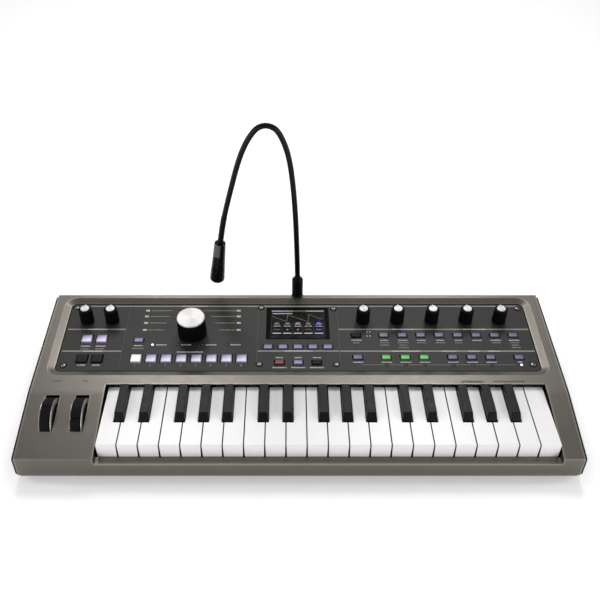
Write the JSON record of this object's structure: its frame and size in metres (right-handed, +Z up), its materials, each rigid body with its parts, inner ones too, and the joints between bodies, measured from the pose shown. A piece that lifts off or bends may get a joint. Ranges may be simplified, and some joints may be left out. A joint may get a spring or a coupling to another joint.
{
  "type": "synthesizer",
  "caption": "Compact keyboard synthesizer: slim keys below a sloped panel with knobs, dial, screen and buttons, wheels at the left and a gooseneck microphone at the rear.",
  "frame": {"origin": "middle of the bounding box at table height: under the middle of the case, at the bottom of the feet", "axes": "+X to the player's right along the keyboard, +Y away from the player towards the rear sockets, +Z up"},
  "size_m": [0.555, 0.2284, 0.2747],
  "materials": {
    "case_shell": "warm grey metallic paint, satin",
    "underside_plastic": "black moulded plastic, fine texture",
    "panel_plate": "dark grey anodised plate with printed lines",
    "window_acrylic": "black tinted acrylic, polished",
    "keybed_plastic": "black moulded plastic",
    "circuit_board": "green solder mask",
    "white_key": "white moulded plastic, semi-gloss",
    "black_key": "black moulded plastic, fine matt grain",
    "knob_plastic": "black ribbed plastic with a pale metal cap",
    "button_cap": "translucent lavender silicone, lit from below",
    "wheel_rubber": "matt black tread, silver side discs",
    "mic_housing": "black plastic, satin",
    "neck_rubber": "black wound gooseneck, satin"
  },
  "bodies": {
    "case": {"bottom_case": "underside_plastic", "top_case": "case_shell", "control_panel": "panel_plate", "display_window": "window_acrylic", "keybed_frame": "keybed_plastic", "main_board": "circuit_board"},
    "key_C1": {"key_C1": "white_key"},
    "key_C_sharp1": {"key_C_sharp1": "black_key"},
    "key_D1": {"key_D1": "white_key"},
    "key_D_sharp1": {"key_D_sharp1": "black_key"},
    "key_E1": {"key_E1": "white_key"},
    "key_F1": {"key_F1": "white_key"},
    "key_F_sharp1": {"key_F_sharp1": "black_key"},
    "key_G1": {"key_G1": "white_key"},
    "key_G_sharp1": {"key_G_sharp1": "black_key"},
    "key_A1": {"key_A1": "white_key"},
    "key_A_sharp1": {"key_A_sharp1": "black_key"},
    "key_B1": {"key_B1": "white_key"},
    "key_C2": {"key_C2": "white_key"},
    "key_C_sharp2": {"key_C_sharp2": "black_key"},
    "key_D2": {"key_D2": "white_key"},
    "key_D_sharp2": {"key_D_sharp2": "black_key"},
    "key_E2": {"key_E2": "white_key"},
    "key_F2": {"key_F2": "white_key"},
    "key_F_sharp2": {"key_F_sharp2": "black_key"},
    "key_G2": {"key_G2": "white_key"},
    "key_G_sharp2": {"key_G_sharp2": "black_key"},
    "key_A2": {"key_A2": "white_key"},
    "key_A_sharp2": {"key_A_sharp2": "black_key"},
    "key_B2": {"key_B2": "white_key"},
    "key_C3": {"key_C3": "white_key"},
    "key_C_sharp3": {"key_C_sharp3": "black_key"},
    "key_D3": {"key_D3": "white_key"},
    "key_D_sharp3": {"key_D_sharp3": "black_key"},
    "key_E3": {"key_E3": "white_key"},
    "key_F3": {"key_F3": "white_key"},
    "key_F_sharp3": {"key_F_sharp3": "black_key"},
    "key_G3": {"key_G3": "white_key"},
    "key_G_sharp3": {"key_G_sharp3": "black_key"},
    "key_A3": {"key_A3": "white_key"},
    "key_A_sharp3": {"key_A_sharp3": "black_key"},
    "key_B3": {"key_B3": "white_key"},
    "key_C4": {"key_C4": "white_key"},
    "left_knob_1": {"left_knob_1": "knob_plastic"},
    "left_knob_2": {"left_knob_2": "knob_plastic"},
    "selector_dial": {"selector_dial": "knob_plastic"},
    "right_knob_1": {"right_knob_1": "knob_plastic"},
    "right_knob_2": {"right_knob_2": "knob_plastic"},
    "right_knob_3": {"right_knob_3": "knob_plastic"},
    "right_knob_4": {"right_knob_4": "knob_plastic"},
    "right_knob_5": {"right_knob_5": "knob_plastic"},
    "pitch_wheel": {"pitch_wheel": "wheel_rubber"},
    "mod_wheel": {"mod_wheel": "wheel_rubber"},
    "left_button_mat": {"left_button_mat": "button_cap"},
    "display_button_mat": {"display_button_mat": "button_cap"},
    "right_button_mat": {"right_button_mat": "button_cap"},
    "mic_plug": {"mic_plug": "mic_housing"},
    "mic_stem": {"gooseneck_lower": "neck_rubber"},
    "mic_arm": {"gooseneck_upper": "neck_rubber", "mic_head": "mic_housing"}
  },
  "joints": [
    {"name": "key_C1_press", "type": "hinge", "parent": "case", "child": "key_C1", "pos_m": [-0.18715, -0.00215, 0.027], "axis": [1, 0, 0], "range_deg": [0, 4], "stiffness_Nm_per_rad": 0.25, "springref_deg": -11.46},
    {"name": "key_C_sharp1_press", "type": "hinge", "parent": "case", "child": "key_C_sharp1", "pos_m": [-0.179, -0.00215, 0.027], "axis": [1, 0, 0], "range_deg": [0, 4], "stiffness_Nm_per_rad": 0.25, "springref_deg": -11.46},
    {"name": "key_D1_press", "type": "hinge", "parent": "case", "child": "key_D1", "pos_m": [-0.16664, -0.00215, 0.027], "axis": [1, 0, 0], "range_deg": [0, 4], "stiffness_Nm_per_rad": 0.25, "springref_deg": -11.46},
    {"name": "key_D_sharp1_press", "type": "hinge", "parent": "case", "child": "key_D_sharp1", "pos_m": [-0.15429, -0.00215, 0.027], "axis": [1, 0, 0], "range_deg": [0, 4], "stiffness_Nm_per_rad": 0.25, "springref_deg": -11.46},
    {"name": "key_E1_press", "type": "hinge", "parent": "case", "child": "key_E1", "pos_m": [-0.14613, -0.00215, 0.027], "axis": [1, 0, 0], "range_deg": [0, 4], "stiffness_Nm_per_rad": 0.25, "springref_deg": -11.46},
    {"name": "key_F1_press", "type": "hinge", "parent": "case", "child": "key_F1", "pos_m": [-0.12562, -0.00215, 0.027], "axis": [1, 0, 0], "range_deg": [0, 4], "stiffness_Nm_per_rad": 0.25, "springref_deg": -11.46},
    {"name": "key_F_sharp1_press", "type": "hinge", "parent": "case", "child": "key_F_sharp1", "pos_m": [-0.11857, -0.00215, 0.027], "axis": [1, 0, 0], "range_deg": [0, 4], "stiffness_Nm_per_rad": 0.25, "springref_deg": -11.46},
    {"name": "key_G1_press", "type": "hinge", "parent": "case", "child": "key_G1", "pos_m": [-0.10512, -0.00215, 0.027], "axis": [1, 0, 0], "range_deg": [0, 4], "stiffness_Nm_per_rad": 0.25, "springref_deg": -11.46},
    {"name": "key_G_sharp1_press", "type": "hinge", "parent": "case", "child": "key_G_sharp1", "pos_m": [-0.09486, -0.00215, 0.027], "axis": [1, 0, 0], "range_deg": [0, 4], "stiffness_Nm_per_rad": 0.25, "springref_deg": -11.46},
    {"name": "key_A1_press", "type": "hinge", "parent": "case", "child": "key_A1", "pos_m": [-0.0846, -0.00215, 0.027], "axis": [1, 0, 0], "range_deg": [0, 4], "stiffness_Nm_per_rad": 0.25, "springref_deg": -11.46},
    {"name": "key_A_sharp1_press", "type": "hinge", "parent": "case", "child": "key_A_sharp1", "pos_m": [-0.07115, -0.00215, 0.027], "axis": [1, 0, 0], "range_deg": [0, 4], "stiffness_Nm_per_rad": 0.25, "springref_deg": -11.46},
    {"name": "key_B1_press", "type": "hinge", "parent": "case", "child": "key_B1", "pos_m": [-0.06409, -0.00215, 0.027], "axis": [1, 0, 0], "range_deg": [0, 4], "stiffness_Nm_per_rad": 0.25, "springref_deg": -11.46},
    {"name": "key_C2_press", "type": "hinge", "parent": "case", "child": "key_C2", "pos_m": [-0.04358, -0.00215, 0.027], "axis": [1, 0, 0], "range_deg": [0, 4], "stiffness_Nm_per_rad": 0.25, "springref_deg": -11.46},
    {"name": "key_C_sharp2_press", "type": "hinge", "parent": "case", "child": "key_C_sharp2", "pos_m": [-0.03543, -0.00215, 0.027], "axis": [1, 0, 0], "range_deg": [0, 4], "stiffness_Nm_per_rad": 0.25, "springref_deg": -11.46},
    {"name": "key_D2_press", "type": "hinge", "parent": "case", "child": "key_D2", "pos_m": [-0.02307, -0.00215, 0.027], "axis": [1, 0, 0], "range_deg": [0, 4], "stiffness_Nm_per_rad": 0.25, "springref_deg": -11.46},
    {"name": "key_D_sharp2_press", "type": "hinge", "parent": "case", "child": "key_D_sharp2", "pos_m": [-0.01072, -0.00215, 0.027], "axis": [1, 0, 0], "range_deg": [0, 4], "stiffness_Nm_per_rad": 0.25, "springref_deg": -11.46},
    {"name": "key_E2_press", "type": "hinge", "parent": "case", "child": "key_E2", "pos_m": [-0.00257, -0.00215, 0.027], "axis": [1, 0, 0], "range_deg": [0, 4], "stiffness_Nm_per_rad": 0.25, "springref_deg": -11.46},
    {"name": "key_F2_press", "type": "hinge", "parent": "case", "child": "key_F2", "pos_m": [0.01794, -0.00215, 0.027], "axis": [1, 0, 0], "range_deg": [0, 4], "stiffness_Nm_per_rad": 0.25, "springref_deg": -11.46},
    {"name": "key_F_sharp2_press", "type": "hinge", "parent": "case", "child": "key_F_sharp2", "pos_m": [0.025, -0.00215, 0.027], "axis": [1, 0, 0], "range_deg": [0, 4], "stiffness_Nm_per_rad": 0.25, "springref_deg": -11.46},
    {"name": "key_G2_press", "type": "hinge", "parent": "case", "child": "key_G2", "pos_m": [0.03846, -0.00215, 0.027], "axis": [1, 0, 0], "range_deg": [0, 4], "stiffness_Nm_per_rad": 0.25, "springref_deg": -11.46},
    {"name": "key_G_sharp2_press", "type": "hinge", "parent": "case", "child": "key_G_sharp2", "pos_m": [0.04871, -0.00215, 0.027], "axis": [1, 0, 0], "range_deg": [0, 4], "stiffness_Nm_per_rad": 0.25, "springref_deg": -11.46},
    {"name": "key_A2_press", "type": "hinge", "parent": "case", "child": "key_A2", "pos_m": [0.05896, -0.00215, 0.027], "axis": [1, 0, 0], "range_deg": [0, 4], "stiffness_Nm_per_rad": 0.25, "springref_deg": -11.46},
    {"name": "key_A_sharp2_press", "type": "hinge", "parent": "case", "child": "key_A_sharp2", "pos_m": [0.07242, -0.00215, 0.027], "axis": [1, 0, 0], "range_deg": [0, 4], "stiffness_Nm_per_rad": 0.25, "springref_deg": -11.46},
    {"name": "key_B2_press", "type": "hinge", "parent": "case", "child": "key_B2", "pos_m": [0.07948, -0.00215, 0.027], "axis": [1, 0, 0], "range_deg": [0, 4], "stiffness_Nm_per_rad": 0.25, "springref_deg": -11.46},
    {"name": "key_C3_press", "type": "hinge", "parent": "case", "child": "key_C3", "pos_m": [0.09999, -0.00215, 0.027], "axis": [1, 0, 0], "range_deg": [0, 4], "stiffness_Nm_per_rad": 0.25, "springref_deg": -11.46},
    {"name": "key_C_sharp3_press", "type": "hinge", "parent": "case", "child": "key_C_sharp3", "pos_m": [0.10814, -0.00215, 0.027], "axis": [1, 0, 0], "range_deg": [0, 4], "stiffness_Nm_per_rad": 0.25, "springref_deg": -11.46},
    {"name": "key_D3_press", "type": "hinge", "parent": "case", "child": "key_D3", "pos_m": [0.1205, -0.00215, 0.027], "axis": [1, 0, 0], "range_deg": [0, 4], "stiffness_Nm_per_rad": 0.25, "springref_deg": -11.46},
    {"name": "key_D_sharp3_press", "type": "hinge", "parent": "case", "child": "key_D_sharp3", "pos_m": [0.13285, -0.00215, 0.027], "axis": [1, 0, 0], "range_deg": [0, 4], "stiffness_Nm_per_rad": 0.25, "springref_deg": -11.46},
    {"name": "key_E3_press", "type": "hinge", "parent": "case", "child": "key_E3", "pos_m": [0.141, -0.00215, 0.027], "axis": [1, 0, 0], "range_deg": [0, 4], "stiffness_Nm_per_rad": 0.25, "springref_deg": -11.46},
    {"name": "key_F3_press", "type": "hinge", "parent": "case", "child": "key_F3", "pos_m": [0.16151, -0.00215, 0.027], "axis": [1, 0, 0], "range_deg": [0, 4], "stiffness_Nm_per_rad": 0.25, "springref_deg": -11.46},
    {"name": "key_F_sharp3_press", "type": "hinge", "parent": "case", "child": "key_F_sharp3", "pos_m": [0.16857, -0.00215, 0.027], "axis": [1, 0, 0], "range_deg": [0, 4], "stiffness_Nm_per_rad": 0.25, "springref_deg": -11.46},
    {"name": "key_G3_press", "type": "hinge", "parent": "case", "child": "key_G3", "pos_m": [0.18202, -0.00215, 0.027], "axis": [1, 0, 0], "range_deg": [0, 4], "stiffness_Nm_per_rad": 0.25, "springref_deg": -11.46},
    {"name": "key_G_sharp3_press", "type": "hinge", "parent": "case", "child": "key_G_sharp3", "pos_m": [0.19228, -0.00215, 0.027], "axis": [1, 0, 0], "range_deg": [0, 4], "stiffness_Nm_per_rad": 0.25, "springref_deg": -11.46},
    {"name": "key_A3_press", "type": "hinge", "parent": "case", "child": "key_A3", "pos_m": [0.20253, -0.00215, 0.027], "axis": [1, 0, 0], "range_deg": [0, 4], "stiffness_Nm_per_rad": 0.25, "springref_deg": -11.46},
    {"name": "key_A_sharp3_press", "type": "hinge", "parent": "case", "child": "key_A_sharp3", "pos_m": [0.21599, -0.00215, 0.027], "axis": [1, 0, 0], "range_deg": [0, 4], "stiffness_Nm_per_rad": 0.25, "springref_deg": -11.46},
    {"name": "key_B3_press", "type": "hinge", "parent": "case", "child": "key_B3", "pos_m": [0.22304, -0.00215, 0.027], "axis": [1, 0, 0], "range_deg": [0, 4], "stiffness_Nm_per_rad": 0.25, "springref_deg": -11.46},
    {"name": "key_C4_press", "type": "hinge", "parent": "case", "child": "key_C4", "pos_m": [0.24355, -0.00215, 0.027], "axis": [1, 0, 0], "range_deg": [0, 4], "stiffness_Nm_per_rad": 0.25, "springref_deg": -11.46},
    {"name": "left_knob_1_turn", "type": "hinge", "parent": "case", "child": "left_knob_1", "pos_m": [-0.2357, 0.06838, 0.05055], "axis": [0, -0.0743, 0.9972], "range_deg": [-150, 150]},
    {"name": "left_knob_2_turn", "type": "hinge", "parent": "case", "child": "left_knob_2", "pos_m": [-0.2076, 0.06838, 0.05055], "axis": [0, -0.0743, 0.9972], "range_deg": [-150, 150]},
    {"name": "selector_dial_turn", "type": "hinge", "parent": "case", "child": "selector_dial", "pos_m": [-0.1164, 0.04933, 0.04913], "axis": [0, -0.0743, 0.9972], "range_deg": [-120, 120]},
    {"name": "right_knob_1_turn", "type": "hinge", "parent": "case", "child": "right_knob_1", "pos_m": [0.073, 0.06838, 0.05055], "axis": [0, -0.0743, 0.9972], "range_deg": [-150, 150]},
    {"name": "right_knob_2_turn", "type": "hinge", "parent": "case", "child": "right_knob_2", "pos_m": [0.1113, 0.06838, 0.05055], "axis": [0, -0.0743, 0.9972], "range_deg": [-150, 150]},
    {"name": "right_knob_3_turn", "type": "hinge", "parent": "case", "child": "right_knob_3", "pos_m": [0.1499, 0.06838, 0.05055], "axis": [0, -0.0743, 0.9972], "range_deg": [-150, 150]},
    {"name": "right_knob_4_turn", "type": "hinge", "parent": "case", "child": "right_knob_4", "pos_m": [0.188, 0.06838, 0.05055], "axis": [0, -0.0743, 0.9972], "range_deg": [-150, 150]},
    {"name": "right_knob_5_turn", "type": "hinge", "parent": "case", "child": "right_knob_5", "pos_m": [0.2254, 0.06838, 0.05055], "axis": [0, -0.0743, 0.9972], "range_deg": [-150, 150]},
    {"name": "pitch_wheel_roll", "type": "hinge", "parent": "case", "child": "pitch_wheel", "pos_m": [-0.2508, -0.06215, 0.03], "axis": [-1, 0, 0], "range_deg": [-45, 45], "stiffness_Nm_per_rad": 0.05},
    {"name": "mod_wheel_roll", "type": "hinge", "parent": "case", "child": "mod_wheel", "pos_m": [-0.2205, -0.06215, 0.03], "axis": [-1, 0, 0], "range_deg": [0, 75]},
    {"name": "left_button_mat_press", "type": "slide", "parent": "case", "child": "left_button_mat", "axis": [0, 0.0743, -0.9972], "range_m": [0, 0.0012], "stiffness_N_per_m": 500, "springref_m": -0.002},
    {"name": "display_button_mat_press", "type": "slide", "parent": "case", "child": "display_button_mat", "axis": [0, 0.0743, -0.9972], "range_m": [0, 0.0012], "stiffness_N_per_m": 500, "springref_m": -0.002},
    {"name": "right_button_mat_press", "type": "slide", "parent": "case", "child": "right_button_mat", "axis": [0, 0.0743, -0.9972], "range_m": [0, 0.0012], "stiffness_N_per_m": 500, "springref_m": -0.002},
    {"name": "mic_swivel", "type": "hinge", "parent": "case", "child": "mic_plug", "pos_m": [0, 0.10595, 0.06], "axis": [0, 0, 1], "range_deg": [-90, 90]},
    {"name": "mic_tilt", "type": "hinge", "parent": "mic_plug", "child": "mic_stem", "pos_m": [0, 0.10595, 0.0836], "axis": [1, 0, 0], "range_deg": [-20, 20]},
    {"name": "mic_bend", "type": "hinge", "parent": "mic_stem", "child": "mic_arm", "pos_m": [-0.03045, 0.10595, 0.27182], "axis": [0, 1, 0], "range_deg": [-12, 40]}
  ]
}
